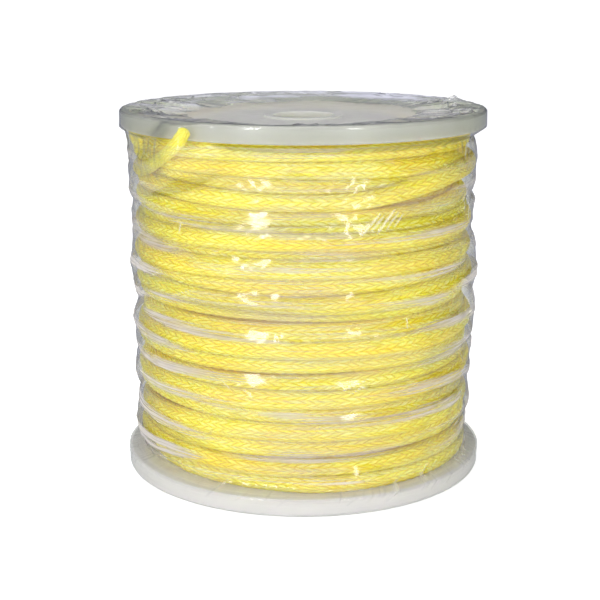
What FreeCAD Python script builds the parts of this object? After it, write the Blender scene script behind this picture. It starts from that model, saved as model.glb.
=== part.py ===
import FreeCAD, Part
import math
import os
import re

import Sketcher
from FreeCAD import Placement, Rotation, Vector

# Spool of braided line in a shrink sleeve. Millimetres, +Z up along the spool's axis.
# The origin is the middle of the face that the spool stands on, -Y is the front.

DIMENSIONS = {
    "flange_radius": 35.0,
    "spool_height": 70.0,
    "rim_height": 3.2,
    "rim_wall": 1.7,
    "rim_rounding": 0.5,
    "face_recess": 1.8,
    "bore_radius": 6.0,
    "collar_wall": 1.6,
    "collar_recess": 1.5,
    "collar_length": 12.0,
    "barrel_radius": 17.5,
    "barrel_wall": 2.0,
    "spigot_wall": 1.6,
    "spigot_length": 8.0,
    "spigot_chamfer": 0.5,
    "slot_width": 3.6,
    "rib_thickness": 1.2,
    "rib_length": 6.0,
    "rib_count": 6.0,
    "line_diameter": 3.1,
    "winding_radius": 31.4,
    "winding_rounding": 1.2,
    "anchor_height": 6.6,
    "anchor_diameter": 3.6,
    "knot_diameter": 6.0,
    "film_thickness": 0.2,
    "film_waist": 32.4,
    "film_shoulder": 33.3,
    "film_hem_radius": 22.0,
    "tail_clearance": 0.05,
}

# The free end of the line: angle round the axis from the front towards -X in degrees,
# distance from the axis, and height. It lies in the outermost turns and climbs over the rim.
TAIL_ROUTE = [
    (118.0, 30.2, 57.3),
    (104.0, 30.2, 58.1),
    (90.0, 30.2, 59.1),
    (77.0, 30.3, 60.3),
    (66.0, 30.7, 61.6),
    (56.0, 31.9, 63.0),
    (48.0, 34.3, 64.5),
    (41.5, 37.1, 66.2),
    (36.2, 36.9, 68.6),
]
ARC_SHARE = 0.45  # share of the shorter run that an arc takes at each end
STEP_FOLDER = "parts"

doc = FreeCAD.newDocument("line_spool")
sheet = doc.addObject("Spreadsheet::Sheet", "sheet")


def fill_sheet():
    """One row for each driving dimension: its name and its value."""
    for row, (name, value) in enumerate(DIMENSIONS.items(), start=1):
        sheet.set(f"A{row}", name)
        sheet.set(f"B{row}", str(value))
        sheet.setAlias(f"B{row}", name)
    doc.recompute()


def size(name):
    return float(getattr(sheet, name))


def cell(formula):
    """A formula of sheet names, as the expression that FreeCAD reads."""
    return re.sub(r"[a-z_]+", lambda name: "sheet." + name.group(), formula)


def origin_feature(body, role):
    return next(o for o in body.Origin.OriginFeatures if o.Role == role)


def new_body(label):
    body = doc.addObject("PartDesign::Body", label)
    body.Label = label
    return body


def new_sketch(body, name, plane="XZ_Plane"):
    sketch = body.newObject("Sketcher::SketchObject", name)
    sketch.AttachmentSupport = (origin_feature(body, plane), "")
    sketch.MapMode = "FlatFace"
    return sketch


def bind(sketch, kind, first, second, formula):
    """A horizontal or vertical distance in the sketch, bound to the sheet."""
    index = sketch.addConstraint(Sketcher.Constraint(kind, *first, *second, 1.0))
    sketch.setExpression(f"Constraints[{index}]", cell(formula))


def outline(body, name, corners, plane="XZ_Plane"):
    """A closed sketch of straight lines whose corners are pairs of formulas, across and up."""
    sketch = new_sketch(body, name, plane)
    count = len(corners)
    start = [
        Vector(20 + math.cos(2 * math.pi * i / count), 20 + math.sin(2 * math.pi * i / count), 0)
        for i in range(count)
    ]
    for i in range(count):
        sketch.addGeometry(Part.LineSegment(start[i], start[(i + 1) % count]), False)
    for i in range(count):
        sketch.addConstraint(Sketcher.Constraint("Coincident", i, 2, (i + 1) % count, 1))
    for i, (across, up) in enumerate(corners):
        bind(sketch, "DistanceX", (-1, 1), (i, 1), across)
        if up == "0":
            sketch.addConstraint(Sketcher.Constraint("PointOnObject", i, 1, -1))
        else:
            bind(sketch, "DistanceY", (-1, 1), (i, 1), up)
    return sketch


def revolved(body, name, corners):
    """A full turn of a closed outline round the body's own Z axis."""
    sketch = outline(body, name + "_outline", corners)
    turn = body.newObject("PartDesign::Revolution", name)
    turn.Profile = sketch
    turn.ReferenceAxis = (sketch, ["V_Axis"])
    turn.Angle = 360.0
    doc.recompute()
    return turn


def circles_at(shape, radius, height, tolerance=0.01):
    """Names of a shape's full circular edges of one radius at one height."""
    found = []
    for index, edge in enumerate(shape.Edges, start=1):
        round_edge = isinstance(edge.Curve, Part.Circle)
        if round_edge and abs(edge.Curve.Radius - radius) < tolerance:
            if abs(edge.BoundBox.ZMin - height) < tolerance:
                found.append(f"Edge{index}")
    return found


def rounded(body, name, base, edges, radius_name):
    """A fillet on some edges of a feature, its radius bound to the sheet."""
    fillet = body.newObject("PartDesign::Fillet", name)
    fillet.Base = (base, edges)
    fillet.setExpression("Radius", cell(radius_name))
    doc.recompute()
    return fillet


def make_flange(label):
    """One end moulding: a rimmed disc with a bore collar and a spigot for the barrel, joined by ribs.

    Its outer face is at its own height 0 and it grows inwards along +Z. The spigot has a slot for
    the line's start.
    """
    body = new_body(label)
    rim_inner = "flange_radius - rim_wall"
    spigot_outer = "barrel_radius - barrel_wall"
    spigot_inner = "barrel_radius - barrel_wall - spigot_wall"
    collar_outer = "bore_radius + collar_wall"
    disc = revolved(
        body,
        "disc_" + label,
        [
            ("bore_radius", "collar_recess"),
            (collar_outer, "collar_recess"),
            (collar_outer, "face_recess"),
            (rim_inner, "face_recess"),
            (rim_inner, "0"),
            ("flange_radius", "0"),
            ("flange_radius", "rim_height"),
            (spigot_outer, "rim_height"),
            (spigot_outer, "rim_height + spigot_length - spigot_chamfer"),
            (spigot_outer + " - spigot_chamfer", "rim_height + spigot_length"),
            (spigot_inner, "rim_height + spigot_length"),
            (spigot_inner, "rim_height"),
            (collar_outer, "rim_height"),
            (collar_outer, "rim_height + collar_length"),
            ("bore_radius", "rim_height + collar_length"),
        ],
    )
    rib_sketch = outline(
        body,
        "rib_outline_" + label,
        [
            (collar_outer + " - collar_wall / 2", "rim_height - face_recess / 4"),
            (spigot_inner + " + spigot_wall / 2", "rim_height - face_recess / 4"),
            (spigot_inner + " + spigot_wall / 2", "rim_height + rib_length"),
            (collar_outer + " - collar_wall / 2", "rim_height + rib_length"),
        ],
    )
    rib = body.newObject("PartDesign::Pad", "rib_" + label)
    rib.Profile = rib_sketch
    rib.Midplane = True
    rib.setExpression("Length", cell("rib_thickness"))
    doc.recompute()
    ribs = body.newObject("PartDesign::PolarPattern", "ribs_" + label)
    ribs.Originals = [rib]
    ribs.Axis = (rib_sketch, ["V_Axis"])
    ribs.Angle = 360.0
    ribs.setExpression("Occurrences", cell("rib_count"))
    body.Tip = ribs
    doc.recompute()
    slot_sketch = outline(
        body,
        "slot_outline_" + label,
        [
            (spigot_inner + " - spigot_wall / 2", "rim_height"),
            ("barrel_radius", "rim_height"),
            ("barrel_radius", "rim_height + spigot_length + spigot_chamfer"),
            (spigot_inner + " - spigot_wall / 2", "rim_height + spigot_length + spigot_chamfer"),
        ],
        "YZ_Plane",
    )
    slot = body.newObject("PartDesign::Pocket", "slot_" + label)
    slot.Profile = slot_sketch
    slot.Midplane = True
    slot.setExpression("Length", cell("slot_width"))
    body.Tip = slot
    doc.recompute()
    outer, inner = size("flange_radius"), size("flange_radius") - size("rim_wall")
    edges = circles_at(slot.Shape, outer, 0.0)
    edges += circles_at(slot.Shape, inner, 0.0)
    edges += circles_at(slot.Shape, outer, size("rim_height"))
    body.Tip = rounded(body, "rim_edges_" + label, slot, edges, "rim_rounding")
    grew = disc.Shape.Volume < ribs.Shape.Volume
    shrank = body.Tip.Shape.Volume < slot.Shape.Volume < ribs.Shape.Volume
    if not grew or not shrank:
        raise ValueError(f"{label}: the ribs, the slot or the rim's rounding changed nothing")
    return body


def place_flanges():
    """The same moulding at both ends, the upper one turned over."""
    lower = make_flange("lower_flange")
    lower.setExpression(".Placement.Base.z", cell("film_thickness"))
    upper = make_flange("upper_flange")
    upper.Placement = Placement(Vector(0, 0, 0), Rotation(Vector(1, 0, 0), 180))
    upper.setExpression(".Placement.Base.z", cell("film_thickness + spool_height"))
    return [lower, upper]


def make_barrel():
    """The tube that the line is wound on, with one hole through its rear wall for the line's start."""
    body = new_body("barrel")
    low = "film_thickness + rim_height"
    high = "film_thickness + spool_height - rim_height"
    inner = "barrel_radius - barrel_wall"
    tube = revolved(
        body, "barrel_tube", [(inner, low), ("barrel_radius", low), ("barrel_radius", high), (inner, high)]
    )
    hole_sketch = new_sketch(body, "anchor_circle")
    circle = Part.Circle(Vector(0, 20, 0), Vector(0, 0, 1), 1.0)
    hole_sketch.addGeometry(circle, False)
    hole_sketch.addConstraint(Sketcher.Constraint("PointOnObject", 0, 3, -2))
    bind(hole_sketch, "DistanceY", (-1, 1), (0, 3), "anchor_height")
    diameter = hole_sketch.addConstraint(Sketcher.Constraint("Diameter", 0, 2.0))
    hole_sketch.setExpression(f"Constraints[{diameter}]", cell("anchor_diameter"))
    hole = body.newObject("PartDesign::Pocket", "anchor_hole")
    hole.Profile = hole_sketch
    hole.setExpression("Length", cell("barrel_radius + barrel_wall"))
    doc.recompute()
    body.Tip = hole
    if hole.Shape.Volume >= tube.Shape.Volume:
        raise ValueError("the anchor hole cuts nothing")
    return body


def make_winding():
    """The outer shape of all the turns of line between the flanges, with a groove for the free end."""
    body = new_body("all_turns")
    low = "film_thickness + rim_height"
    high = "film_thickness + spool_height - rim_height"
    ring = revolved(
        body,
        "turns",
        [("barrel_radius", low), ("winding_radius", low), ("winding_radius", high), ("barrel_radius", high)],
    )
    bottom = size("film_thickness") + size("rim_height")
    top = size("film_thickness") + size("spool_height") - size("rim_height")
    edges = circles_at(ring.Shape, size("winding_radius"), bottom)
    edges += circles_at(ring.Shape, size("winding_radius"), top)
    body.Tip = rounded(body, "outermost_turns", ring, edges, "winding_rounding")
    winding = doc.addObject("Part::Cut", "wound_line")
    winding.Label = "wound_line"
    winding.Base = body
    winding.Tool = tail_hollow("tail_groove", size("tail_clearance"), 0.0)
    return winding


def make_line_start():
    """The line's start: the stop knot inside the spigot and the run through the slot and the hole."""
    knot_distance = "barrel_radius - barrel_wall - spigot_wall - knot_diameter / 2"
    knot = doc.addObject("Part::Sphere", "start_knot")
    knot.Label = "start_knot"
    knot.setExpression("Radius", cell("knot_diameter / 2"))
    knot.setExpression(".Placement.Base.y", cell(knot_distance))
    knot.setExpression(".Placement.Base.z", cell("anchor_height"))
    run = doc.addObject("Part::Cylinder", "start_run")
    run.setExpression("Radius", cell("line_diameter / 2"))
    run.setExpression("Height", cell("barrel_radius"))
    run.Placement = Placement(Vector(0, 0, 0), Rotation(Vector(1, 0, 0), -90))
    run.setExpression(".Placement.Base.y", cell(knot_distance))
    run.setExpression(".Placement.Base.z", cell("anchor_height"))
    core = doc.addObject("Part::Cylinder", "inside_of_turns")
    core.setExpression("Radius", cell("barrel_radius"))
    core.setExpression("Height", cell("spool_height"))
    inside = doc.addObject("Part::Common", "start_run_inside")
    inside.Base = run
    inside.Tool = core
    start = doc.addObject("Part::Cut", "line_start")
    start.Label = "line_start"
    start.Base = inside
    start.Tool = knot
    return [start, knot]


def route_point(angle, distance, height):
    turn = math.radians(angle)
    return Vector(-distance * math.sin(turn), -distance * math.cos(turn), height)


def arc_route(points, label):
    """Straight runs joined by tangent arcs, each as large as its two runs allow."""
    edges = []
    position = points[0]
    radii = []
    for before, corner, after in zip(points, points[1:], points[2:]):
        back, ahead = before - corner, after - corner
        reach = ARC_SHARE * min(back.Length, ahead.Length)
        half_turn = (math.pi - back.getAngle(ahead)) / 2
        back.normalize()
        ahead.normalize()
        radius = reach / math.tan(half_turn)
        radii.append(round(radius, 1))
        middle = (back + ahead).normalize()
        first, last = corner + back * reach, corner + ahead * reach
        crown = corner + middle * (radius / math.cos(half_turn) - radius)
        edges.append(Part.LineSegment(position, first).toShape())
        edges.append(Part.Arc(first, crown, last).toShape())
        position = last
    edges.append(Part.LineSegment(position, points[-1]).toShape())
    wire = Part.Wire(edges)
    print(f"{label}: length {wire.Length:.1f} mm, arc radii {radii} mm")
    return wire


def tube(label, points, radius):
    """A round solid along a route of runs and arcs, checked against its section times its length."""
    wire = arc_route(points, label)
    start = wire.Edges[0]
    direction = start.tangentAt(start.FirstParameter)
    section = Part.Wire([Part.makeCircle(radius, points[0], direction)])
    solid = wire.makePipeShell([section], True, False)
    expected = math.pi * radius**2 * wire.Length
    print(f"{label}: volume {solid.Volume:.2f} mm3, section times length {expected:.2f} mm3")
    if abs(solid.Volume - expected) > 0.01 * expected:
        raise ValueError(f"{label}: the tube's volume is not its section times its length")
    feature = doc.addObject("Part::Feature", label)
    feature.Label = label
    feature.Shape = solid
    feature.Placement = Placement()
    return feature


def make_tail():
    """The free end of the line."""
    points = [route_point(*place) for place in TAIL_ROUTE]
    return tube("line_tail", points, size("line_diameter") / 2)


def tail_hollow(label, gap, end_gap):
    """The line's free end grown by a gap all round, and by another past its end."""
    points = [route_point(*place) for place in TAIL_ROUTE]
    last = points[-1] - points[-2]
    points[-1] = points[-1] + last.normalize() * end_gap
    return tube(label, points, size("line_diameter") / 2 + gap)


def sleeve_outline(outwards):
    """The sleeve's section with its skin moved outwards by a formula, from the lower hem to the upper one."""
    low_rim = "film_thickness + rim_height"
    top = "film_thickness + spool_height"
    high_rim = top + " - rim_height"
    rim_inner = "flange_radius - rim_wall"
    grow = f" + {outwards}"
    shrink = f" - {outwards}"
    base = "0" if outwards == "film_thickness" else "film_thickness"
    return [
        ("film_hem_radius", "film_thickness + face_recess" + shrink),
        (rim_inner + shrink, "film_thickness + face_recess" + shrink),
        (rim_inner + shrink, base),
        ("flange_radius" + grow, base),
        ("flange_radius" + grow, low_rim + grow),
        ("film_waist" + grow, low_rim + " + 1.5 * line_diameter"),
        ("film_waist" + grow, high_rim + " - 5 * line_diameter"),
        ("film_shoulder" + grow, high_rim + " - 3 * line_diameter"),
        ("film_shoulder" + grow, high_rim + " - line_diameter / 2"),
        ("flange_radius" + grow, high_rim + shrink),
        ("flange_radius" + grow, top + grow),
        (rim_inner + shrink, top + grow),
        (rim_inner + shrink, top + " - face_recess" + grow),
        ("film_hem_radius", top + " - face_recess" + grow),
    ]


def make_film():
    """The clear sleeve: shrunk on the winding and over both rims, with a tent over the line's free end."""
    outside_body = new_body("sleeve_outside")
    revolved(outside_body, "outside", sleeve_outline("film_thickness"))
    inside_body = new_body("sleeve_inside")
    revolved(inside_body, "inside", sleeve_outline("0 * film_thickness"))
    clearance = size("tail_clearance")
    outside = doc.addObject("Part::Fuse", "sleeve_and_tent")
    outside.Base = outside_body
    thickness = clearance + size("film_thickness")
    outside.Tool = tail_hollow("tent_outside", thickness, thickness)
    inside = doc.addObject("Part::Fuse", "room_in_sleeve")
    inside.Base = inside_body
    inside.Tool = tail_hollow("tent_inside", clearance, clearance)
    film = doc.addObject("Part::Cut", "shrink_film")
    film.Label = "shrink_film"
    film.Base = outside
    film.Tool = inside
    return film


def check(pieces):
    """Every object computed, and every piece a valid solid."""
    for item in doc.Objects:
        if "Invalid" in item.State or "Error" in item.State:
            raise ValueError(f"{item.Label} failed: {item.State}")
    for piece in pieces:
        shape = piece.Shape
        if shape.isNull() or not shape.isValid() or not shape.Solids:
            raise ValueError(f"{piece.Label} has no valid solid")


def write(pieces):
    os.makedirs(STEP_FOLDER, exist_ok=True)
    for piece in pieces:
        piece.Shape.exportStep(os.path.join(STEP_FOLDER, piece.Label + ".step"))
        box = piece.Shape.BoundBox
        print(
            f"{piece.Label}: {len(piece.Shape.Solids)} solid, {piece.Shape.Volume:.0f} mm3, "
            f"z {box.ZMin:.2f} to {box.ZMax:.2f}, x {box.XMin:.2f} to {box.XMax:.2f}"
        )


def main():
    fill_sheet()
    pieces = place_flanges()
    pieces.append(make_barrel())
    pieces.append(make_winding())
    pieces.extend(make_line_start())
    pieces.append(make_tail())
    pieces.append(make_film())
    doc.recompute()
    check(pieces)
    write(pieces)


main()
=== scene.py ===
import math

import bpy
import numpy as np
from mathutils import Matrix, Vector


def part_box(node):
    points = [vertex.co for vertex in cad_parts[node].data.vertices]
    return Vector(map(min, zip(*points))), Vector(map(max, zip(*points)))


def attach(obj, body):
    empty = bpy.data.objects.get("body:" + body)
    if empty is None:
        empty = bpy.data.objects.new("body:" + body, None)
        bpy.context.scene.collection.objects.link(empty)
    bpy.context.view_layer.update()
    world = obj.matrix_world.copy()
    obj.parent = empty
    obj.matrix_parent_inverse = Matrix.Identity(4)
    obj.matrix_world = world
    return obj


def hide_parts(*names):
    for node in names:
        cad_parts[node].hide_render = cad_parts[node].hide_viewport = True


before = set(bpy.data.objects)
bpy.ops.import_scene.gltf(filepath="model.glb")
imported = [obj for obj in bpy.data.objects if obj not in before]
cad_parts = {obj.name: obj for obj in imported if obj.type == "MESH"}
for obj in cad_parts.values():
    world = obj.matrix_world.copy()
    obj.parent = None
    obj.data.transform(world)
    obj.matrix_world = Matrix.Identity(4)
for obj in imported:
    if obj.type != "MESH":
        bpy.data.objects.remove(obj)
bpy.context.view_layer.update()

MM = 0.001
LINE = 3.1  # line diameter, mm
SEED = 21


# ---------------------------------------------------------------- places, all in mm from the CAD boxes

def reach(node):
    """Largest radius, lowest and highest point of a CAD node."""
    low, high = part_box(node)
    return high.x / MM, low.z / MM, high.z / MM


FLANGE, FLOOR_SIDE, _ = reach("lower_flange")
_, _, TOP_SIDE = reach("upper_flange")
BARREL = reach("barrel")[0]
WOUND, WOUND_LOW, WOUND_HIGH = reach("wound_line")
HIDDEN_LAYERS = 4
LAYER_STEP = (WOUND - BARREL - LINE) / HIDDEN_LAYERS


def around(azimuth, radius, z):
    """Point at an azimuth in degrees from the front (-Y) towards +X."""
    a = math.radians(azimuth)
    return (radius * math.sin(a), -radius * math.cos(a), z)


# ---------------------------------------------------------------- small tools

def new_object(name, verts, faces, smooth=True):
    mesh = bpy.data.meshes.new(name)
    mesh.from_pydata([tuple(v) for v in verts], [], [tuple(f) for f in faces])
    mesh.update()
    if smooth:
        mesh.shade_smooth()
    obj = bpy.data.objects.new(name, mesh)
    bpy.context.scene.collection.objects.link(obj)
    return obj


def vertex_values(obj, name, values):
    layer = obj.data.attributes.new(name, "FLOAT", "POINT")
    layer.data.foreach_set("value", np.asarray(values, np.float32).ravel())


def smoothstep(x, low, high):
    t = np.clip((np.asarray(x, float) - low) / (high - low), 0.0, 1.0)
    return t * t * (3 - 2 * t)


class Shader:
    """A node tree that is put together with short calls."""

    def __init__(self, name):
        self.material = bpy.data.materials.new(name)
        self.material.use_nodes = True
        self.tree = self.material.node_tree
        self.tree.nodes.clear()

    def put(self, target, value):
        """Link a socket, or set a plain value."""
        if isinstance(value, bpy.types.NodeSocket):
            self.tree.links.new(value, target)
        elif value is not None:
            target.default_value = value

    def node(self, kind, out=0, settings=None, **inputs):
        n = self.tree.nodes.new("ShaderNode" + kind)
        for key, value in (settings or {}).items():
            setattr(n, key, value)
        for key, value in inputs.items():
            self.put(n.inputs[key.replace("_", " ")], value)
        return n.outputs[out]

    def math(self, op, a, b=None, clamp=False):
        n = self.tree.nodes.new("ShaderNodeMath")
        n.operation = op
        n.use_clamp = clamp
        for target, value in zip(n.inputs, (a, b)):
            self.put(target, value)
        return n.outputs[0]

    def value(self, name):
        """A value that the mesh keeps at each of its points."""
        n = self.tree.nodes.new("ShaderNodeAttribute")
        n.attribute_name = name
        return n.outputs["Fac"]

    def vector(self, x=0.0, y=0.0, z=0.0):
        return self.node("CombineXYZ", X=x, Y=y, Z=z)

    def split(self, vector):
        n = self.tree.nodes.new("ShaderNodeSeparateXYZ")
        self.put(n.inputs[0], vector)
        return n.outputs

    def noise(self, vector, scale, detail=2.0, roughness=0.5, distortion=0.0):
        return self.node("TexNoise", out="Fac", Vector=vector, Scale=scale, Detail=detail,
                         Roughness=roughness, Distortion=distortion)

    def scaled(self, vector, x, y, z):
        n = self.tree.nodes.new("ShaderNodeVectorMath")
        n.operation = "MULTIPLY"
        self.put(n.inputs[0], vector)
        n.inputs[1].default_value = (x, y, z)
        return n.outputs[0]

    def span(self, value, low, high, to_low=0.0, to_high=1.0):
        """The value taken smoothly from low..high to to_low..to_high."""
        n = self.tree.nodes.new("ShaderNodeMapRange")
        n.interpolation_type = "SMOOTHSTEP"
        for target, v in zip(n.inputs, (value, low, high, to_low, to_high)):
            self.put(target, v)
        return n.outputs[0]

    def ramp(self, value, *stops):
        n = self.tree.nodes.new("ShaderNodeValToRGB")
        bar = n.color_ramp
        bar.elements[0].position, bar.elements[0].color = stops[0][0], (*stops[0][1], 1)
        bar.elements[1].position, bar.elements[1].color = stops[-1][0], (*stops[-1][1], 1)
        for position, colour in stops[1:-1]:
            bar.elements.new(position).color = (*colour, 1)
        self.put(n.inputs[0], value)
        return n.outputs[0]

    def blend(self, factor, a, b, mode="MIX"):
        n = self.tree.nodes.new("ShaderNodeMix")
        n.data_type = "RGBA"
        n.blend_type = mode
        for index, value in ((0, factor), (6, a), (7, b)):
            self.put(n.inputs[index], (*value, 1) if isinstance(value, tuple) else value)
        return n.outputs[2]

    def bump(self, height, distance, strength):
        return self.node("Bump", Height=height, Distance=distance, Strength=strength)

    def place(self):
        """The point in the piece's own frame, in metres."""
        return self.node("TexCoord", out="Object")

    def join(self, a, b):
        n = self.tree.nodes.new("ShaderNodeAddShader")
        self.put(n.inputs[0], a)
        self.put(n.inputs[1], b)
        return n.outputs[0]

    def mixed(self, factor, a, b):
        n = self.tree.nodes.new("ShaderNodeMixShader")
        for target, value in zip(n.inputs, (factor, a, b)):
            self.put(target, value)
        return n.outputs[0]

    def finish(self, surface):
        out = self.tree.nodes.new("ShaderNodeOutputMaterial")
        self.tree.links.new(surface, out.inputs["Surface"])
        return self.material


# ---------------------------------------------------------------- camera, floor and light

def make_camera():
    """The photo's view: from the front, looking down by 13.7 degrees, 26 cm from the spool's axis."""
    data = bpy.data.cameras.new("camera")
    data.sensor_width = 36
    data.lens = 80.44
    data.shift_x = -0.0056
    data.clip_start = 0.01
    camera = bpy.data.objects.new("camera", data)
    camera.location = (0, -0.2598, 0.0952)
    camera.rotation_euler = (math.radians(90 - 13.71), 0, 0)
    bpy.context.scene.collection.objects.link(camera)
    bpy.context.scene.camera = camera


def make_light(name, place, aim, size, power, colour=(1, 1, 1)):
    data = bpy.data.lights.new(name, "AREA")
    data.shape = "RECTANGLE"
    data.size, data.size_y = size
    data.energy = power
    data.color = colour
    light = bpy.data.objects.new(name, data)
    light.location = place
    light.rotation_euler = (Vector(aim) - Vector(place)).to_track_quat("-Z", "Y").to_euler()
    bpy.context.scene.collection.objects.link(light)


def make_studio():
    """White paper to the horizon, two tall softboxes for the columns of highlights, and soft fills."""
    floor = new_object("floor", [(-30, -8, 0), (30, -8, 0), (30, 60, 0), (-30, 60, 0)], [(0, 1, 2, 3)], False)
    s = Shader("studio_floor")
    grain = s.noise(s.place(), 30.0, 3.0)
    colour = s.ramp(grain, (0.3, (0.90, 0.90, 0.905)), (0.7, (0.92, 0.92, 0.925)))
    # the paper glows a little, more so far behind the object, so that it stays white to the horizon
    depth = s.split(s.place())["Y"]
    glow = s.node("Emission", Color=(1, 1, 1, 1), Strength=s.span(depth, 0.4, 1.8, 0.42, 0.78))
    paper = s.node("BsdfDiffuse", Color=colour)
    floor.data.materials.append(s.finish(s.join(paper, glow)))

    world = bpy.data.worlds.new("studio")
    world.use_nodes = True
    tree = world.node_tree
    back = tree.nodes["Background"]
    sky = tree.nodes.new("ShaderNodeTexCoord")
    height = tree.nodes.new("ShaderNodeSeparateXYZ")
    tree.links.new(sky.outputs["Generated"], height.inputs[0])
    bar = tree.nodes.new("ShaderNodeValToRGB")
    bar.color_ramp.elements[0].position = 0.02
    bar.color_ramp.elements[0].color = (0.56, 0.58, 0.70, 1)
    bar.color_ramp.elements[1].position = 0.55
    bar.color_ramp.elements[1].color = (0.96, 0.97, 1.0, 1)
    tree.links.new(height.outputs["Z"], bar.inputs[0])
    tree.links.new(bar.outputs[0], back.inputs["Color"])
    # the room is darker to the right of the object
    side = tree.nodes.new("ShaderNodeMapRange")
    side.inputs["From Min"].default_value = -1.0
    side.inputs["To Min"].default_value = 0.68
    side.inputs["To Max"].default_value = 0.13
    tree.links.new(height.outputs["X"], side.inputs["Value"])
    tree.links.new(side.outputs[0], back.inputs["Strength"])
    bpy.context.scene.world = world

    middle = (0, 0, 0.035)
    make_light("softbox_left", (-0.48, -0.80, 0.36), middle, (0.15, 0.66), 4.4)
    make_light("softbox_right", (0.48, -0.80, 0.36), middle, (0.12, 0.66), 3.1)
    make_light("overhead", (0, 0.05, 0.95), middle, (0.9, 0.9), 5.2)
    make_light("front_fill", (0, -1.3, 0.62), middle, (1.1, 0.7), 1.35)


# ---------------------------------------------------------------- the line's route

# Heights of the outer layer's turns at the front, uneven as hand-guided turns are, and how far each
# one stands out of the layer.
ROWS = (5.0, 8.3, 11.5, 14.8, 17.9, 21.0, 24.0, 27.1, 30.1,
        33.3, 36.5, 39.0, 41.4, 44.2, 46.9, 49.4, 51.6, 53.8)
OUT = (0.0, 0.25, -0.2, 0.3, 0.0, 0.4, -0.3, 0.1, 0.45,
       -0.3, -0.4, 0.6, -0.45, 0.35, -0.5, 0.6, -0.5, 0.2)

# The last turns: from the last regular row up to the flange, down again row by row, then once
# round on top of them. Azimuth, radius, height.
LAST_TURNS = (
    (60, 29.9, 53.9), (90, 29.7, 54.3), (120, 29.1, 55.6), (160, 28.4, 59.0), (200, 28.4, 62.8),
    (235, 29.2, 65.1), (262, 31.6, 65.4), (300, 31.7, 65.4), (325, 30.9, 65.4), (360, 30.1, 65.3),
    (405, 30.1, 65.3), (450, 30.2, 65.2), (495, 30.1, 65.0), (540, 30.7, 64.6), (585, 30.6, 63.7),
    (625, 30.9, 63.0), (660, 30.6, 62.7), (690, 29.8, 62.5), (720, 30.0, 62.1), (765, 30.2, 62.0),
    (810, 29.7, 61.9), (855, 29.3, 61.6), (900, 30.0, 61.1), (945, 29.6, 60.6), (990, 28.9, 60.2),
    (1025, 29.2, 59.8), (1060, 29.8, 59.3), (1100, 29.9, 59.0), (1130, 29.3, 58.9), (1160, 29.0, 58.9),
    (1200, 29.1, 58.6), (1245, 29.8, 57.6), (1290, 29.9, 57.2), (1345, 30.0, 57.4), (1380, 30.2, 57.8),
    (1405, 30.4, 57.3), (1425, 30.3, 56.7), (1440, 30.2, 56.4), (1463, 30.4, 56.9), (1475, 30.8, 58.0),
    (1488, 31.2, 59.3), (1500, 31.4, 60.0), (1520, 31.4, 60.3), (1560, 31.3, 60.4), (1620, 31.5, 60.2),
    (1670, 31.3, 60.0),
)

PROUD = 0.85  # how far the outer turns stand out of close winding, mm
START_HEIGHT = 6.6  # height of the hole in the barrel for the line's start, mm

# The free end, as azimuth to the left of the front, radius and height: it lifts off the turns and
# lies up against the outside of the rim.
TAIL = (
    (118, 31.5, 60.0), (104, 31.5, 59.7), (90, 31.5, 59.3), (77, 31.6, 59.2), (67, 31.9, 59.9),
    (58, 32.6, 61.2), (50, 33.7, 62.8), (42.5, 35.3, 64.5), (37.5, 36.6, 66.1), (34.8, 36.6, 67.8),
    (33.4, 36.4, 69.3),
)


def waver(a, seed, size):
    """Slow seeded drift along the winding, size mm either way."""
    rng = np.random.RandomState(seed)
    total = 0.0
    for f in (0.62, 1.31, 2.17, 3.4):
        total += math.sin(math.radians(a) * f + rng.uniform(0, 6.283)) / (0.7 + f)
    return size * total


def hidden_layers(points):
    """Four close layers on the barrel. Returns the azimuth at which the outer layer starts."""
    low, high = WOUND_LOW + LINE / 2, WOUND_HIGH - LINE / 2
    step, pitch = 22.5, 3.15
    swell = 1 / math.cos(math.radians(step / 2))
    a, z = 197.0, START_HEIGHT
    for layer in range(HIDDEN_LAYERS):
        radius = BARREL + LINE / 2 + LAYER_STEP * layer
        up = layer % 2 == 0
        target = high if up else low
        while (z < target) if up else (z > target):
            r = radius + 0.5 * waver(a, 3, 0.2)
            points.append(around(a, r * swell, z))
            a += step
            z += (pitch if up else -pitch) * step / 360
        z = target
        for i in range(8):
            points.append(around(a, (radius + LAYER_STEP * (i + 0.5) / 8) * swell, z))
            a += step
    return a


def outer_layer(points, a):
    """The turns that show: regular rows, then the last turns."""
    step = 15.0
    swell = 1 / math.cos(math.radians(step / 2))
    a = math.ceil(a / step) * step
    front = math.floor(a / 360) * 360
    base = BARREL + LINE / 2 + LAYER_STEP * HIDDEN_LAYERS + PROUD
    last_front = front + 360 * (len(ROWS) - 1)
    while a < last_front + 60:
        turn = (a - front) / 360
        k = max(0, min(len(ROWS) - 1, math.floor(turn + 0.5)))
        f = (a - front) - 360 * k
        side = min(max(k + (1 if f > 0 else -1), 0), len(ROWS) - 1)
        share = float(smoothstep(abs(f), 50, 310)) * (1 if abs(f) > 50 else 0)
        z = ROWS[k] + (ROWS[side] - ROWS[k]) * share
        out = OUT[k] + (OUT[side] - OUT[k]) * share
        edge = min(1.0, (z - ROWS[0]) / 3)
        points.append(around(a, (base + out + waver(a, 5, 0.42)) * swell, z + edge * waver(a, 7, 0.62)))
        a += step
    az, rr, zz = (np.array(c, float) for c in zip(*LAST_TURNS))
    end = LAST_TURNS[-1][0]
    b = a - last_front
    while b < end - 1:
        points.append(around(b, (soft(az, rr, b) + 0.45 * PROUD) * swell, soft(az, zz, b)))
        b += step


def soft(x, y, at):
    """Smooth value between given stations."""
    span = 9.0
    return float(np.mean([np.interp(at + d, x, y) for d in (-span, -span / 2, 0, span / 2, span)]))


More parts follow.
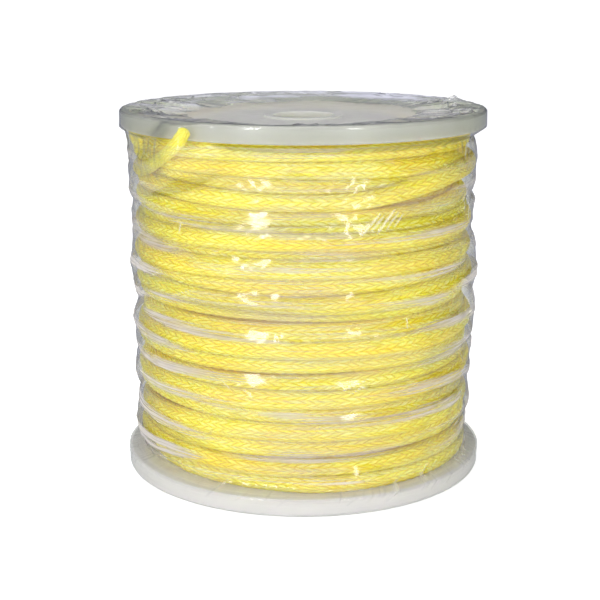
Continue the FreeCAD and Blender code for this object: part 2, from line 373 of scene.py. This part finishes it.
def line_route():
    """The whole line as one spline, from the knot inside the barrel to the free end. In metres."""
    through_hole = ((0, 12.3), (0, 14.4), (0, 16.6), (-0.3, 18.6), (-3.0, 19.3))
    points = [(x, y, START_HEIGHT) for x, y in through_hole]
    a = hidden_layers(points)
    first_shown = len(points)
    outer_layer(points, a)
    tail_from = len(points)
    points += [around(-azimuth, radius, z) for azimuth, radius, z in TAIL]
    curve = bpy.data.curves.new("line_route", "CURVE")
    curve.dimensions = "3D"
    curve.resolution_u = 16
    spline = curve.splines.new("NURBS")
    spline.points.add(len(points) - 1)
    for point, place in zip(spline.points, points):
        point.co = (*(c * MM for c in place), 1)
    spline.order_u = 3
    spline.use_endpoint_u = True
    holder = bpy.data.objects.new("line_route", curve)
    bpy.context.scene.collection.objects.link(holder)
    bpy.context.view_layer.update()
    mesh = bpy.data.meshes.new_from_object(holder)
    read = np.array([v.co for v in mesh.vertices], float)
    bpy.data.objects.remove(holder)
    bpy.data.curves.remove(curve)
    bpy.data.meshes.remove(mesh)
    share = len(read) / (len(points) - 1)
    return read, int(first_shown * share), int(tail_from * share)


# ---------------------------------------------------------------- the line itself

COLUMNS = 16  # ridges of the plait round the line
GRAIN = 2.0  # length of one grain of the plait, mm
SPREAD = 1.22  # how much wider a pressed turn is than a loose line


def plait_angles():
    """Angles of a ring's points: one on each ridge and each furrow where the line shows, few behind."""
    half = 180 / COLUMNS
    shown = [half * i for i in range(-9, 10)]
    return np.radians(shown + [112.5 + 22.5 * i for i in range(7)])


def make_line():
    """The line as one plaited tube. Also returns its route, where it starts to show, and its lengths."""
    path, shown, tail = line_route()
    steps = np.r_[0, np.cumsum(np.linalg.norm(np.diff(path, axis=0), axis=1))]

    def lengths_at(index):
        return steps[min(index, len(steps) - 1)] / MM

    keep = np.r_[np.arange(0, shown, 9), np.arange(shown, len(path))]
    centre, along = path[keep], steps[keep] / MM
    forward = np.gradient(centre, axis=0)
    forward /= np.linalg.norm(forward, axis=1)[:, None]
    upward = np.array([0, 0, 1.0]) - forward * forward[:, 2:3]
    upward /= np.linalg.norm(upward, axis=1)[:, None]
    outward = np.cross(forward, upward)
    angles = plait_angles()
    column = angles * COLUMNS / (2 * math.pi)
    column = np.where(column > COLUMNS / 2, column - COLUMNS, column)
    ridge = np.cos(column * 2 * math.pi)
    odd = np.round(column) % 2
    wave = np.cos(2 * math.pi * (along[:, None] / GRAIN + 0.5 * odd[None, :]))
    relief = np.where(ridge[None, :] > 0, 0.01 + 0.07 * wave, -0.02)
    radius = (LINE / 2 - 0.04 + relief) * MM
    loose = smoothstep(along, lengths_at(tail) - 20, lengths_at(tail) + 8)[:, None]
    # the cut end closes in a few blunt rings
    end = np.clip((along[-1] - along) / 0.9, 0, 1)
    start = np.clip(along / 0.9, 0, 1)
    radius = radius * np.sqrt(1 - (1 - np.minimum(end, start)) ** 2 * 0.92)[:, None]
    # the free end is a little flat where the film presses it on the rim
    press = smoothstep(along, along[-1] - 30, along[-1] - 12)[:, None]
    thin = 1 - 0.22 * smoothstep(along, along[-1] - 34, along[-1] - 12)[:, None]
    # the plait turns a little to and fro about the line
    sways = ((23, 0.4), (41, 2.0), (67, 4.1))
    twist = sum(math.radians(11) * np.sin(along / span + shift) for span, shift in sways)
    angles = angles[None, :] + twist[:, None]
    flat_out, flat_up = thin * (1 - 0.10 * press), thin * (SPREAD - (SPREAD - 1) * loose)
    ring = (outward[:, None] * (np.cos(angles) * flat_out)[..., None]
            + upward[:, None] * (np.sin(angles) * flat_up)[..., None])
    verts = centre[:, None] + ring * radius[..., None]
    count, n = verts.shape[:2]
    base = np.arange(count - 1)[:, None] * n
    i = np.arange(n)[None, :]
    j = (i + 1) % n
    faces = np.stack([base + i, base + j, base + j + n, base + i + n], -1).reshape(-1, 4)
    verts = verts.reshape(-1, 3)
    caps = [tuple(range(n - 1, -1, -1)), tuple((count - 1) * n + k for k in range(n))]
    line = new_object("braided_line", verts, [tuple(f) for f in faces.tolist()] + caps)
    vertex_values(line, "along", np.repeat(along, n))
    vertex_values(line, "column", np.tile(column, count))
    vertex_values(line, "fresh", np.repeat(smoothstep(along, along[-1] - 45, along[-1] - 12), n))
    line.data.materials.append(line_material())
    return line, path, shown, steps


def make_knot(middle):
    """The stop knot on the line's inner end, drawn tight inside the barrel."""
    rings, sides = 96, 16
    t = np.arange(rings) * 2 * math.pi / rings
    trefoil = (np.sin(t) + 2 * np.sin(2 * t), -1.1 * np.sin(3 * t), np.cos(t) - 2 * np.cos(2 * t))
    loop = np.stack(trefoil, -1) * 0.52 + np.array(middle)
    forward = np.roll(loop, -1, 0) - np.roll(loop, 1, 0)
    forward /= np.linalg.norm(forward, axis=1)[:, None]
    side = np.cross(forward, (0.0, 1.0, 0.0))
    side /= np.linalg.norm(side, axis=1)[:, None]
    up = np.cross(side, forward)
    turn = np.arange(sides) * 2 * math.pi / sides
    wave = 1 + 0.05 * np.cos(8 * turn[None, :]) * np.cos(24 * t[:, None])
    ring = side[:, None] * np.cos(turn)[None, :, None] + up[:, None] * np.sin(turn)[None, :, None]
    verts = (loop[:, None] + ring * (1.25 * wave)[..., None]).reshape(-1, 3) * MM
    faces = []
    for i in range(rings):
        here, ahead = sides * i, sides * ((i + 1) % rings)
        for j in range(sides):
            k = (j + 1) % sides
            faces.append((here + j, here + k, ahead + k, ahead + j))
    knot = new_object("stop_knot", verts, faces)
    vertex_values(knot, "along", np.repeat(t * 3.0, sides))
    vertex_values(knot, "column", np.tile(np.arange(sides), rings))
    vertex_values(knot, "fresh", np.zeros(sides * rings))
    return knot


def line_material():
    """Plaited yarns, drawn from a point's length along the line and its ridge round it, with painted shade in
    the gaps between grains, painted highlights on some grains and a faint painted golden glow.

    "fresh" is 1 on the free end, which is a greener yellow.
    """
    s = Shader("yellow_line_plait")
    along, column = s.value("along"), s.value("column")
    drift = s.noise(s.vector(s.math("MULTIPLY", along, 0.16), s.math("MULTIPLY", column, 0.25)), 1.0, 1.0)
    k = s.math("FLOOR", s.math("ADD", column, 0.5))
    v = s.math("SUBTRACT", column, k)
    odd = s.math("FLOORED_MODULO", k, 2.0)
    lean = s.math("MULTIPLY", v, s.math("SUBTRACT", 0.8, s.math("MULTIPLY", odd, 1.6)))
    phase = s.math("ADD", s.math("DIVIDE", along, GRAIN), s.math("MULTIPLY", odd, 0.5))
    phase = s.math("ADD", s.math("ADD", phase, lean), s.math("MULTIPLY", drift, 1.7))
    cell = s.math("FLOOR", phase)
    g = s.math("SUBTRACT", s.math("SUBTRACT", phase, cell), 0.5)
    across = s.math("POWER", s.math("ABSOLUTE", s.math("MULTIPLY", v, 1.8)), 2.5)
    across = s.math("SUBTRACT", 1.0, across, clamp=True)
    lengthways = s.math("POWER", s.math("ABSOLUTE", s.math("MULTIPLY", g, 2.0)), 2.6)
    lengthways = s.math("SUBTRACT", 1.0, lengthways, clamp=True)
    # the grain's shape also sets its colour: the gaps between grains get painted shade
    grain = s.math("MULTIPLY", s.math("POWER", across, 0.6), s.math("POWER", lengthways, 0.8))
    # grains picked at random are painted whiter as highlights
    each = s.node("TexWhiteNoise", out="Value", Vector=s.vector(cell, k, 0.3))
    yarn_place = s.vector(s.math("MULTIPLY", along, 0.9), s.math("MULTIPLY", s.math("ADD", column, lean), 7.0))
    thread = s.noise(yarn_place, 1.0, 2.0, 0.6)
    tone_and_painted_light = s.math("ADD", s.math("MULTIPLY", grain, 0.62), s.math("MULTIPLY", thread, 0.16))
    tone_and_painted_light = s.math("ADD", tone_and_painted_light, s.math("MULTIPLY", s.math("MULTIPLY", each, grain), 0.42))
    # the ramp runs from painted shade, deep gold, in the gaps to painted highlight, near white, on the
    # brightest grains
    colour = s.ramp(tone_and_painted_light, (0.04, (0.64, 0.42, 0.004)), (0.25, (0.85, 0.65, 0.007)), (0.5, (0.95, 0.81, 0.018)),
                    (0.75, (0.98, 0.89, 0.06)), (1.0, (1.0, 0.96, 0.22)))
    patch = s.noise(s.scaled(s.place(), 42, 42, 260), 1.0, 2.0)
    colour = s.blend(s.span(patch, 0.40, 0.62, 0.0, 0.52), colour, (0.91, 0.74, 0.13), "MULTIPLY")
    colour = s.blend(s.math("MULTIPLY", s.value("fresh"), 0.45), colour, (0.72, 0.76, 0.09))
    height = s.math("ADD", grain, s.math("MULTIPLY", thread, 0.2))
    normal = s.bump(height, 0.00024, 1.0)
    rough = s.span(thread, 0.3, 0.7, 0.28, 0.44)
    # the faint golden emission is a painted glow that lifts the shade between grains and turns
    body = s.node("BsdfPrincipled", Base_Color=colour, Roughness=rough, Normal=normal, IOR=1.49,
                  Subsurface_Weight=0.75, Subsurface_Scale=0.0026, Subsurface_Radius=(1.0, 0.80, 0.25),
                  Specular_IOR_Level=0.25, Emission_Color=(1.0, 0.70, 0.045, 1), Emission_Strength=0.07)
    return s.finish(body)


# ---------------------------------------------------------------- the shrink film

AROUND = 720  # film points round the spool
HEM = 22.0  # how far in the film's edges reach, mm
RIM_INNER = 33.6  # where the film turns over a rim's inner edge, mm
PER_DEGREE = 0.576  # mm round the film for one degree
RIM_BAND = 3.3, 3.2  # how far the film lies on the upper rim and on the lower one, mm
ON_WINDING = 5.0, 66.6  # heights between which the film can be milky, mm
BRIDGE = 4.2  # how far up and down the film spans from a turn, mm
TENT_SLOPE = 0.8  # how steeply the film leaves a turn round the spool
LID_STEPS = 44  # rings of the film over the upper face
LID_DEPTH = 12.0  # breadth of the film over the upper face, mm


def swirl(az, along, seed, waves, size, count=26, slowest=0.2):
    """Smooth seeded unevenness that closes on itself round the spool. waves is (azimuth, lengthways)."""
    rng = np.random.RandomState(seed)
    total = np.zeros(np.broadcast(az, along).shape)
    for _ in range(count):
        m = rng.randint(max(1, int(waves[0] * 0.3)), waves[0] + 1) * rng.choice((-1, 1))
        q = rng.uniform(slowest, 1.0) * waves[1]
        total += math.sqrt(2 / count) * np.cos(m * az + q * along + rng.uniform(0, 6.283))
    return size * total


def from_front(az):
    """Degrees from the front, -180 to 180."""
    return (np.degrees(az) + 180) % 360 - 180


def line_surface(az, z, route, shown):
    """Radius of the outermost line under each point of the film, mm."""
    x, y, h = route[shown:].T / MM
    turn = np.unwrap(np.arctan2(x, -y))
    radius = np.hypot(x, y)
    surface = np.full((len(az), len(z)), WOUND - 2.7)
    for k in range(int(turn[0] // 6.2832), int(turn[-1] // 6.2832) + 1):
        at = az + 2 * math.pi * k
        inside = (at >= turn[0]) & (at <= turn[-1])
        rc = np.where(inside, np.interp(at, turn, radius), 0)
        zc = np.interp(at, turn, h)
        room = 1 - ((z[None, :] - zc[:, None]) / (SPREAD * LINE / 2)) ** 2
        bulge = LINE / 2 * np.sqrt(np.clip(room, 0, None))
        surface = np.where(room > 0, np.maximum(surface, rc[:, None] + bulge), surface)
    return surface


def stretched(surface, z, az):
    """The film's radius where it spans from turn to turn."""
    hull = surface.copy()
    for i in range(len(z)):
        near = np.abs(z - z[i]) < BRIDGE
        hull[:, i] = (surface[:, near] - 0.035 * (z[near] - z[i]) ** 2).max(1)
    step = 2 * math.pi / len(az) * 33  # mm between two points round the winding
    for _ in range(40):
        hull = np.maximum(hull, np.maximum(np.roll(hull, 1, 0), np.roll(hull, -1, 0)) - TENT_SLOPE * step)
    for _ in range(18):
        hull = 0.5 * hull + 0.25 * (np.roll(hull, 1, 0) + np.roll(hull, -1, 0))
    return hull


def creased(az, z, creases):
    """Height of sharp little folds, each given by two ends in degrees and mm, its height and width."""
    total = np.zeros((len(az), len(z)))
    x, y = np.degrees(az)[:, None], z[None, :]
    for a0, z0, a1, z1, height, width in creases:
        ax, ay = (a1 - a0) * PER_DEGREE, z1 - z0
        length = math.hypot(ax, ay)
        px = ((x - a0 + 180) % 360 - 180) * PER_DEGREE
        py = y - z0
        t = (px * ax + py * ay) / length ** 2
        off = np.abs(px * ay - py * ax) / length
        fade = np.clip(1 - np.abs(2 * t - 1) ** 4, 0, 1) * (np.abs(t - 0.5) < 0.5)
        total += height * fade * np.exp(-(off / width) ** 2)
    return total


# Folds that stand out on the film: parallel ones at the right of the middle, short ones elsewhere.
CREASES = (
    (17, 50.6, 25, 54.9, 0.22, 0.17), (20.5, 51.4, 26, 54.3, 0.20, 0.16), (22.5, 50.8, 30, 55.4, 0.22, 0.17),
    (25.5, 51.2, 31.5, 54.9, 0.18, 0.15), (28.5, 51.6, 33, 54.4, 0.16, 0.15), (64, 52.0, 67, 57.0, 0.12, 0.2),
    (67, 50.0, 70, 55.0, 0.12, 0.2), (71, 53.0, 73, 58.0, 0.10, 0.2), (62, 61.5, 67, 65.5, 0.12, 0.2),
    (-42.5, 50.0, -41, 52.4, 0.15, 0.17), (-48, 37.9, -35, 40.5, 0.09, 0.17),
    (-60, 40.4, -50, 42.5, 0.09, 0.17), (11, 22.7, 22, 25.0, 0.13, 0.17), (14, 22.0, 21, 24.0, 0.11, 0.15),
    (-27, 24.4, -23, 22.6, 0.10, 0.17), (-20, 23.2, -16, 21.9, 0.10, 0.16), (34, 33.2, 34.6, 35.3, 0.16, 0.16),
    (-3, 50.5, 3, 51.4, 0.14, 0.17), (-14, 50.6, -9, 51.2, 0.14, 0.17), (3, 51.0, 8, 50.2, 0.12, 0.16),
)


def fold(rng, a, h, size, lean, height, width):
    """A short fold from its place, length and slope. Its height and width are drawn from ranges."""
    end = (a + size / PER_DEGREE * math.cos(lean), h + size * math.sin(lean))
    return (a, h, *end, rng.uniform(*height), rng.uniform(*width))


def wall_folds(rng):
    """Short folds on the back and sides, on the front, and pleats at the foot."""
    folds = []
    for _ in range(70):
        a, h, lean, size = rng.uniform(60, 300), rng.uniform(6, 64), rng.normal(0, 0.5), rng.uniform(2, 7)
        folds.append(fold(rng, a, h, size, lean, (0.08, 0.22), (0.15, 0.3)))
    for _ in range(60):
        a, h = rng.uniform(-78, 78), rng.uniform(8, 62)
        lean, size = rng.normal(0.2, 0.8), rng.uniform(1.0, 3.6)
        folds.append(fold(rng, a, h, size, lean, (0.05, 0.16), (0.13, 0.24)))
    for _ in range(90):
        a, h = rng.choice((-1, 1, 1)) * rng.uniform(8, 100), rng.uniform(1.6, 4.0)
        end = (a + rng.uniform(4, 9), h + rng.uniform(2.5, 4.5))
        folds.append((a, h, *end, rng.uniform(0.05, 0.12), rng.uniform(0.13, 0.2)))
    return folds


def lid_folds(rng):
    """Folds of the film over the upper face, and lines of painted shade beside them and at the back, where the
    film is doubled.
    """
    folds, dark = [], []
    for _ in range(110):
        a = rng.choice((-1, 1)) * rng.uniform(56, 124)
        h, size, lean = rng.uniform(0, 5.5), rng.uniform(2, 6), rng.normal(0, 0.6)
        end = (a + size / PER_DEGREE * math.sin(lean), h + size * math.cos(lean))
        folds.append((a, h, *end, rng.uniform(0.15, 0.55), rng.uniform(0.2, 0.3)))
        beside = rng.uniform(0.5, 0.8)
        if rng.uniform() < 0.6:
            dark.append((a + beside, h, end[0] + beside, end[1], rng.uniform(0.25, 0.75), 0.2))
    for _ in range(26):
        a, h, size, lean = rng.uniform(130, 230), rng.uniform(0, 5), rng.uniform(2, 5), rng.normal(0, 0.9)
        folds.append(fold(rng, a, h, size, lean, (0.15, 0.4), (0.18, 0.3)))
    for _ in range(16):
        a, h, size, lean = rng.uniform(-50, 50), rng.uniform(0, 9), rng.uniform(2, 4), rng.normal(0, 0.7)
        folds.append(fold(rng, a, h, size, lean, (0.08, 0.2), (0.18, 0.3)))
    for _ in range(30):
        a, h, size = rng.uniform(112, 248), rng.uniform(0, 2.5), rng.uniform(2, 6)
        dark.append((a, h, a + size / PER_DEGREE, h + rng.normal(0, 0.6), rng.uniform(0.2, 0.5), 0.25))
    return folds, dark


def film_wall(az, z, surface, rng):
    """The film's radius down its side, how milky it is there with a painted sheen down the front, and how
    bright with folds.
    """
    degrees = from_front(az)
    column, row = az[:, None], z[None, :]
    side = np.exp(-((np.abs(degrees) - 92) / 34) ** 2)[:, None]
    off_front = smoothstep(np.abs(degrees), 16, 64) * (1 - 0.75 * smoothstep(np.abs(degrees), 105, 140))
    off_front = off_front[:, None]
    loose = swirl(column, row, 31, (4, 1.75), 1.0, 26, 0.5)
    slack = 0.10 + 0.42 * side * smoothstep(swirl(column, row, 3, (5, 0.16), 1.0), -1.4, 0.8)
    slack = slack + 0.35 * smoothstep(swirl(column, row, 4, (9, 0.22), 1.0), 0.1, 1.5)
    slack = slack + smoothstep(loose, -1.6, 1.6) * (0.12 + 0.22 * off_front)
    ripple = swirl(column, row, 5, (7, 0.9), 0.12) * (0.5 + 1.2 * side)
    fine = swirl(column, row, 6, (60, 3.2), 0.035, 60)
    body = stretched(surface, z, az) + np.clip(slack + ripple, 0.05, None) + fine
    # round the rims, with a soft passage from the one to the other
    on_rim = (z > TOP_SIDE - RIM_BAND[0]) | (z < FLOOR_SIDE + RIM_BAND[1])
    rims = np.where(on_rim, FLANGE + 0.12, 0.0)[None, :]
    outer = 0.5 * (body + rims + np.sqrt((body - rims) ** 2 + 0.8))
    # the film falls away from the rims' edges
    for i in range(1, len(z)):
        outer[:, i] = np.maximum(outer[:, i], outer[:, i - 1] - 1.5 * (z[i - 1] - z[i]))
    for i in range(len(z) - 2, -1, -1):
        pull = 3.0 if z[i] < 12 else 1.5
        outer[:, i] = np.maximum(outer[:, i], outer[:, i + 1] - pull * (z[i] - z[i + 1]))
    pucker = swirl(column, row * 0.2, 8, (110, 1.0), 0.05, 60)
    near_top = np.exp(-((z - 65.0) / 2.2) ** 2)
    near_foot = np.exp(-((z - 4.8) / 1.8) ** 2) * 0.7
    outer += pucker * (near_top + near_foot)[None, :]
    folds = creased(az, z, CREASES)
    faint = creased(az, z, wall_folds(rng))
    outer += folds + faint
    # milky where it is slack, where it stands off the line and at the foot, and a little whiter all over the
    # front as painted sheen
    clear_of_line = np.clip(outer - surface, 0, 4)
    low_down = 1 - 0.7 * smoothstep(z, 48, 58)[None, :]
    painted_front_sheen = 0.24 * np.exp(-(degrees / 27) ** 2)[:, None]
    milk = smoothstep(loose, 0.05, 1.15) * (0.20 + 0.62 * off_front) * low_down + painted_front_sheen
    milk = milk + 0.10 * smoothstep(clear_of_line, 0.9, 2.2)
    by_tail = np.exp(-((degrees + 47) / 17) ** 2)[:, None] * smoothstep(z, 56, 60)[None, :]
    on_winding = (z > ON_WINDING[0]) & (z < ON_WINDING[1])
    milk = milk * on_winding[None, :] * (1 - 0.6 * by_tail) + 0.02
    milk = milk + 0.11 * np.exp(-((z - 5.2) / 2.0) ** 2)[None, :]
    glint = np.clip(folds * 4.5, 0, 0.75) + np.clip(faint * 2.2, 0, 0.4)
    return outer, milk, glint


class Skin:
    """Rings of film points from the upper hem to the lower one, and what the film is like at each point."""

    def __init__(self):
        self.rings = []
        self.values = {"milk": [], "glint": [], "dark": [], "lid": []}

    def add(self, az, radius, height, **values):
        place = (radius * np.sin(az), -radius * np.cos(az), np.broadcast_to(height, az.shape))
        self.rings.append(np.stack(place, -1))
        for name, kept in self.values.items():
            kept.append(np.broadcast_to(values.get(name, 0.0), az.shape))

    def build(self, name):
        n = AROUND
        base = np.arange(len(self.rings) - 1)[:, None] * n
        i = np.arange(n)[None, :]
        j = (i + 1) % n
        faces = np.stack([base + i, base + n + i, base + n + j, base + j], -1).reshape(-1, 4)
        film = new_object(name, np.concatenate(self.rings) * MM, faces.tolist())
        for value, kept in self.values.items():
            vertex_values(film, value, np.concatenate(kept))
        return film


def add_lid(skin, az, edge, wall_top, rng):
    """The film over the upper face: crimped round the hem, folded at the sides, milkier at the back as a
    painted reflection of the sky.
    """
    degrees = from_front(az)
    crimps = swirl(az, np.zeros(AROUND), 12, (64, 0.0), 1.0, 50)
    coarse = swirl(az, np.zeros(AROUND), 13, (23, 0.0), 1.0, 24)
    flank = 1 + 1.2 * np.exp(-((np.abs(degrees) - 85) / 24) ** 2)
    inward = np.linspace(1, 0, LID_STEPS)
    folds, dark = lid_folds(rng)
    folds = creased(az, inward * LID_DEPTH, folds)
    dark = np.clip(creased(az, inward * LID_DEPTH, dark), 0, 0.75)
    for k, t in enumerate(inward):
        radius = edge + (RIM_INNER - edge) * (1 - t)
        sag = 1.15 * t ** 0.7
        crimp = (0.10 * crimps + 0.13 * coarse) * (0.25 + 0.75 * t) * flank ** 2.2
        crimp = crimp * np.clip((1 - t) * 6, 0.35, 1)
        lift = 0.5 * np.exp(-((degrees - 112) / 7) ** 2) * np.exp(-((t - 0.1) / 0.12) ** 2)
        twist = swirl(az, 6 * t * np.ones(AROUND), 14, (30, 1.0), 0.006)
        height = TOP_SIDE + 0.10 - sag + np.clip(crimp + folds[:, k], -0.55, 0.8) + lift
        # milkier towards the back: a painted reflection of the sky
        behind = smoothstep(np.abs(degrees), 100, 140) * (0.10 + 0.62 * float(smoothstep(t, 0.66, 0.35)))
        milk = 0.07 + np.clip(0.06 * coarse + 0.05 * crimps, 0, 0.3) * flank + behind
        glint = np.clip(folds[:, k] * 1.2 - 0.36, 0, 0.5)
        skin.add(az + twist, radius, height, milk=milk, glint=glint, dark=dark[:, k], lid=1.0)
    for share, drop, lid in ((0.30, 0.0, 1.0), (0.58, 0.03, 1.0), (0.80, 0.13, 0.0), (0.94, 0.29, 0.0)):
        radius = RIM_INNER + (wall_top - RIM_INNER) * share
        skin.add(az, radius, TOP_SIDE + 0.10 - drop + 0.03 * crimps, milk=0.06, lid=lid)


def make_film(route, shown):
    """The whole film: over the upper face, down the side and in under the foot."""
    az = np.arange(AROUND) * 2 * math.pi / AROUND
    # heights of the rings down the upper rim, down the winding and down the lower rim
    z = np.r_[np.linspace(69.8, 66.6, 15), np.arange(66.3, 4.6, -0.33), np.linspace(4.4, 0.55, 22)]
    rng = np.random.RandomState(SEED)
    outer, milk, glint = film_wall(az, z, line_surface(az, z, route, shown), rng)
    edge = HEM + swirl(az, np.zeros(AROUND), 11, (9, 0.0), 0.8)
    skin = Skin()
    add_lid(skin, az, edge, outer[:, 0], rng)
    on_foot = smoothstep(z, 7.5, 4.5)
    for i, height in enumerate(z):
        skin.add(az, outer[:, i], height, milk=milk[:, i], glint=glint[:, i], lid=on_foot[i])
    for inset, height in ((0.08, 0.35), (0.25, 0.2), (0.5, 0.12)):
        skin.add(az, outer[:, -1] - inset, height, milk=0.03, lid=1.0)
    for t in np.linspace(0, 1, 10):
        skin.add(az, (FLANGE - 0.7) * (1 - t) + (edge - 0.4) * t, 0.10, milk=0.03, lid=1.0)
    film = skin.build("shrink_wrap")
    film.data.materials.append(film_material())
    return film


def film_material():
    """Clear gloss over the line, with what each point says of itself.

    "milk" is how milky the film is, with painted sheen down the front and painted reflection at the back of
    the upper face, "glint" a fold that catches the light, "dark" a doubled edge painted as crease shade, and
    "lid" is 1 on the upper face and the foot, where the film is whiter.
    """
    s = Shader("clear_shrink_film")
    place = s.place()
    smear = s.noise(s.scaled(place, 60, 60, 420), 1.0, 3.0, 0.6)
    tiny = s.noise(s.scaled(place, 420, 420, 900), 1.0, 2.0, 0.6)
    height = s.math("ADD", s.math("MULTIPLY", smear, 0.6), s.math("MULTIPLY", tiny, 0.22))
    normal = s.bump(height, 0.00016, 0.24)
    grazing = s.node("LayerWeight", out="Facing", Blend=0.5, Normal=normal)
    shine = s.math("ADD", s.math("MULTIPLY", s.math("POWER", grazing, 5.0), 0.34), 0.048)
    streak = s.noise(s.scaled(place, 40, 40, 2300), 1.0, 2.0, 0.65)
    streaks = s.math("MULTIPLY", s.span(smear, 0.32, 0.62, 0.5, 1.25), s.span(streak, 0.36, 0.60, 0.35, 1.25))
    milk = s.math("MULTIPLY", s.value("milk"), streaks)
    milk = s.math("MAXIMUM", milk, s.value("glint"), clamp=True)
    milk = s.math("MAXIMUM", milk, s.value("dark"), clamp=True)
    veil = s.blend(s.value("lid"), (0.57, 0.545, 0.565), (0.74, 0.74, 0.86))
    veil = s.blend(s.span(s.value("glint"), 0.05, 0.4), veil, (0.98, 0.97, 0.92))
    # near black where the folds get their painted shade
    veil = s.blend(s.span(s.value("dark"), 0.1, 0.4), veil, (0.13, 0.14, 0.17))
    white = s.node("BsdfDiffuse", Color=veil, Normal=normal)
    through = s.node("BsdfTranslucent", Color=veil)
    haze = s.mixed(0.3, white, through)
    # what shows through darkens towards the film's edges: partly absorption through the slanted film, partly
    # painted shade that darkens the sides
    slant = s.math("MULTIPLY", grazing, s.math("SUBTRACT", 1.0, s.math("MULTIPLY", s.value("lid"), 0.32)))
    depth = s.ramp(slant, (0.10, (1.0, 1.0, 1.0)), (0.32, (0.93, 0.93, 0.92)), (0.60, (0.70, 0.71, 0.68)),
                   (0.82, (0.44, 0.45, 0.45)), (1.0, (0.20, 0.21, 0.26)))
    clear = s.node("BsdfTransparent", Color=depth)
    sheen = s.ramp(grazing, (0.5, (1, 1, 1)), (0.9, (0.62, 0.63, 0.70)))
    gloss = s.node("BsdfGlossy", Color=sheen, Roughness=s.span(tiny, 0.3, 0.7, 0.12, 0.20), Normal=normal)
    return s.finish(s.mixed(shine, s.mixed(milk, clear, haze), gloss))


# ---------------------------------------------------------------- the moulded spool

def spool_material(name, tint_and_painted_shade, glow, disc_colour_and_painted_light=None):
    """Milky plastic of one colour, with glow as the share of light it lets through; the upper flange's colour
    is painted darker than the lower one's as shade.
    """
    s = Shader(name)
    place = s.place()
    flow = s.noise(s.scaled(place, 60, 60, 160), 1.0, 3.0, 0.55, 0.6)
    fine = s.noise(place, 900.0, 2.0)
    scuff = s.noise(s.scaled(place, 300, 300, 2200), 1.0, 2.0, 0.7)
    colour = s.ramp(flow, (0.3, tuple(0.93 * c for c in tint_and_painted_shade)), (0.7, tint_and_painted_shade))
    if disc_colour_and_painted_light:
        # the thin disc is painted lighter than the rim that is seen edge on, for the light it lets through
        flat = s.scaled(place, 1, 1, 0)
        radius = s.node("VectorMath", out="Value", settings={"operation": "LENGTH"}, Vector=flat)
        disc = s.span(radius, 0.0338, 0.0330)
        colour = s.blend(disc, colour, s.ramp(flow, (0.3, tuple(0.93 * c for c in disc_colour_and_painted_light)), (0.7, disc_colour_and_painted_light)))
    rough = s.span(scuff, 0.35, 0.7, 0.30, 0.44)
    normal = s.bump(s.math("ADD", flow, s.math("MULTIPLY", fine, 0.12)), 0.00018, 0.35)
    body = s.node("BsdfPrincipled", Base_Color=colour, Roughness=rough, Normal=normal, IOR=1.50,
                  Transmission_Weight=glow, Subsurface_Weight=1.0, Subsurface_Scale=0.006,
                  Subsurface_Radius=(0.9, 1.0, 0.85))
    return s.finish(body)


def repaint(node, material):
    """Give a CAD piece that keeps its shape a material of its own."""
    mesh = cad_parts[node].data
    mesh.materials.clear()
    mesh.materials.append(material)


# ---------------------------------------------------------------- start

make_camera()
make_studio()
line, route, shown_from, lengths = make_line()
knot_low, knot_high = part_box("start_knot")
knot = make_knot([c / MM for c in (knot_low + knot_high) / 2])
knot.data.materials.append(line.data.materials[0])
film = make_film(route, shown_from)
# the upper flange is the same milky plastic as the lower one, painted darker as shade
repaint("upper_flange", spool_material("milky_upper", (0.52, 0.53, 0.48), 0.4, (0.90, 0.92, 0.78)))
repaint("lower_flange", spool_material("milky_lower", (0.80, 0.80, 0.77), 0.4, (0.98, 0.97, 0.91)))
repaint("barrel", spool_material("milky_barrel", (0.90, 0.91, 0.88), 0.3))
for piece in (line, knot, film):
    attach(piece, "root")
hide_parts("wound_line", "line_tail", "line_start")
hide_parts("start_knot")
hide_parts("shrink_film")

bpy.context.scene.view_settings.view_transform = "Standard"
